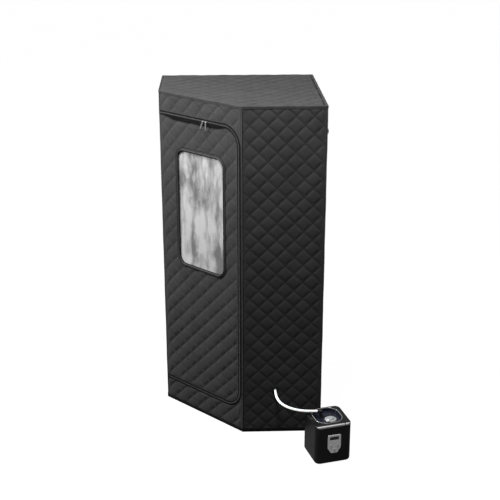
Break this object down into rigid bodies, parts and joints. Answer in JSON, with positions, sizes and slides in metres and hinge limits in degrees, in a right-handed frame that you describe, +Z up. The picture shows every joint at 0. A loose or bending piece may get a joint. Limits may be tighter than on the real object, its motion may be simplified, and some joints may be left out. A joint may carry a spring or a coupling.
{
  "type": "portable steam sauna",
  "caption": "Corner-shaped quilted fabric steam cabin on a pole frame, with a zipped windowed door and a separate steamer joined by a hose.",
  "frame": {"origin": "on the floor, at the centre of the square that the cabin stands in", "axes": "+X to the right of the front, +Y to the back, +Z up; the cut corner with the door faces -X and -Y"},
  "size_m": [0.9729, 1.2085, 1.8],
  "materials": {
    "mat": "matt waterproof sheet",
    "quilted_fabric": "black cloth quilted in diamonds",
    "binding": "black woven binding tape",
    "zip_tape": "black zip tape and coil",
    "zip_metal": "bright plated",
    "pole": "light grey powder coat",
    "connector": "moulded",
    "black_plastic": "moulded, fine grain",
    "case": "satin black",
    "foot_rubber": "matt",
    "screw_steel": "plated",
    "silver_trim": "satin silver",
    "chrome": "polished",
    "tank": "moulded",
    "heater_steel": "polished tube",
    "seal_rubber": "soft, matt",
    "smoked_lid": "smoked clear plastic",
    "cap_plastic": "pale moulded plastic",
    "board": "green board",
    "silver_plate": "silver paint",
    "display": "dark panel",
    "button": "grey",
    "window_vinyl": "clear soft vinyl sheet",
    "hose": "white silicone"
  },
  "bodies": {
    "cabin": {"floor_mat": "mat", "roof_panel": "quilted_fabric", "back_panel": "quilted_fabric", "right_panel": "quilted_fabric", "left_panel": "quilted_fabric", "front_panel": "quilted_fabric", "door_surround": "quilted_fabric", "roof_binding": "binding", "bottom_hem": "binding", "corner_piping": "binding", "zip_half_fixed": "zip_tape", "side_loop": "binding", "port_flange": "black_plastic", "steam_diffuser": "black_plastic", "upright_door_left": "pole", "upright_door_right": "pole", "upright_front_right": "pole", "upright_back_right": "pole", "upright_back_left": "pole", "bottom_rail_door": "pole", "top_rail_door": "pole", "bottom_rail_front": "pole", "top_rail_front": "pole", "bottom_rail_right": "pole", "top_rail_right": "pole", "bottom_rail_back": "pole", "top_rail_back": "pole", "bottom_rail_left": "pole", "top_rail_left": "pole", "bottom_connectors": "connector", "top_connectors": "connector", "steamer_housing": "case", "steamer_base": "case", "steamer_feet": "foot_rubber", "base_screws": "screw_steel", "top_deck": "case", "trim_bar": "silver_trim", "chrome_ring": "chrome", "water_tank": "tank", "heater": "heater_steel", "lid_gasket": "seal_rubber", "tank_lid": "smoked_lid", "outlet_nozzle": "black_plastic", "circuit_board": "board", "control_plate": "silver_plate", "display": "display", "power_inlet": "black_plastic", "steam_hose": "hose"},
    "door": {"door_panel": "quilted_fabric", "door_window": "window_vinyl", "window_binding": "binding", "zip_half_door": "zip_tape"},
    "zip_slider_left": {"zip_slider_left": "zip_metal"},
    "zip_slider_right": {"zip_slider_right": "zip_metal"},
    "zip_pull_left": {"zip_pull_left": "zip_metal"},
    "zip_pull_right": {"zip_pull_right": "zip_metal"},
    "filler_cap": {"filler_cap": "cap_plastic"},
    "power_button": {"power_button": "button"},
    "minus_button": {"minus_button": "button"},
    "plus_button": {"plus_button": "button"}
  },
  "joints": [
    {"name": "door_swing", "type": "hinge", "parent": "cabin", "child": "door", "pos_m": [-0.425, 0, 0.912], "axis": [0, 0, -1], "range_deg": [0, 160]},
    {"name": "left_slider_run", "type": "slide", "parent": "door", "child": "zip_slider_left", "axis": [0.7071, -0.7071, 0], "range_m": [-0.315, 0]},
    {"name": "right_slider_run", "type": "slide", "parent": "door", "child": "zip_slider_right", "axis": [0.7071, -0.7071, 0], "range_m": [0, 0.115]},
    {"name": "left_pull_swing", "type": "hinge", "parent": "zip_slider_left", "child": "zip_pull_left", "pos_m": [-0.19314, -0.24332, 1.685], "axis": [-0.7071, 0.7071, 0], "range_deg": [0, 140]},
    {"name": "right_pull_swing", "type": "hinge", "parent": "zip_slider_right", "child": "zip_pull_right", "pos_m": [-0.17829, -0.25816, 1.685], "axis": [-0.7071, 0.7071, 0], "range_deg": [0, 140]},
    {"name": "filler_cap_lift", "type": "slide", "parent": "cabin", "child": "filler_cap", "axis": [0, 0, 1], "range_m": [0, 0.03]},
    {"name": "power_press", "type": "slide", "parent": "cabin", "child": "power_button", "axis": [-0.2571, 0.9664, 0], "range_m": [0, 0.0012], "stiffness_N_per_m": 400, "springref_m": -0.0004},
    {"name": "minus_press", "type": "slide", "parent": "cabin", "child": "minus_button", "axis": [-0.2571, 0.9664, 0], "range_m": [0, 0.0012], "stiffness_N_per_m": 400, "springref_m": -0.0004},
    {"name": "plus_press", "type": "slide", "parent": "cabin", "child": "plus_button", "axis": [-0.2571, 0.9664, 0], "range_m": [0, 0.0012], "stiffness_N_per_m": 400, "springref_m": -0.0004}
  ]
}
